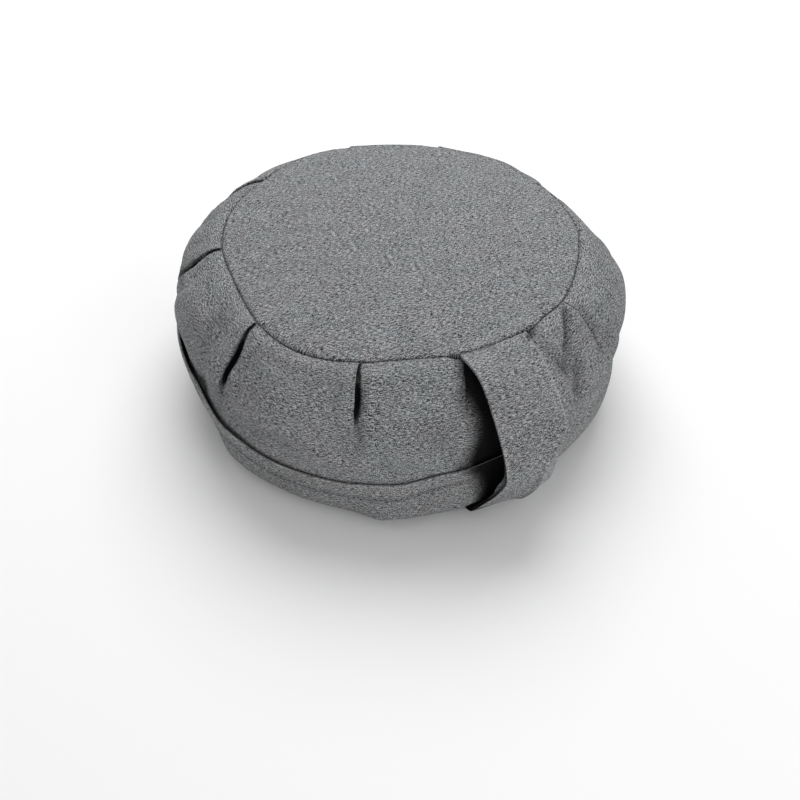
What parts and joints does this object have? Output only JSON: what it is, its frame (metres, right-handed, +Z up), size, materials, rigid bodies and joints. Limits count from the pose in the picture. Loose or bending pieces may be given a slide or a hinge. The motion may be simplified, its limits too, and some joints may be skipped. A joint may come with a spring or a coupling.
{
  "type": "zafu meditation cushion",
  "caption": "Round filled floor cushion with a pleated side, a lapped closure band round the lower side and a wide carrying strap.",
  "frame": {"origin": "centre of the round bottom panel, on the face the cushion rests on", "axes": "+Z up through the crown, -Y towards the carrying strap, +X to the right of the strap seen from outside"},
  "size_m": [0.332, 0.3573, 0.1395],
  "materials": {
    "body_cloth": "matte heathered weave",
    "lap_cloth": "matte heathered weave",
    "strap_cloth": "matte heathered weave"
  },
  "bodies": {
    "root": {"cushion_body": "body_cloth", "zip_lap_band": "lap_cloth", "carry_handle": "strap_cloth"}
  },
  "joints": []
}
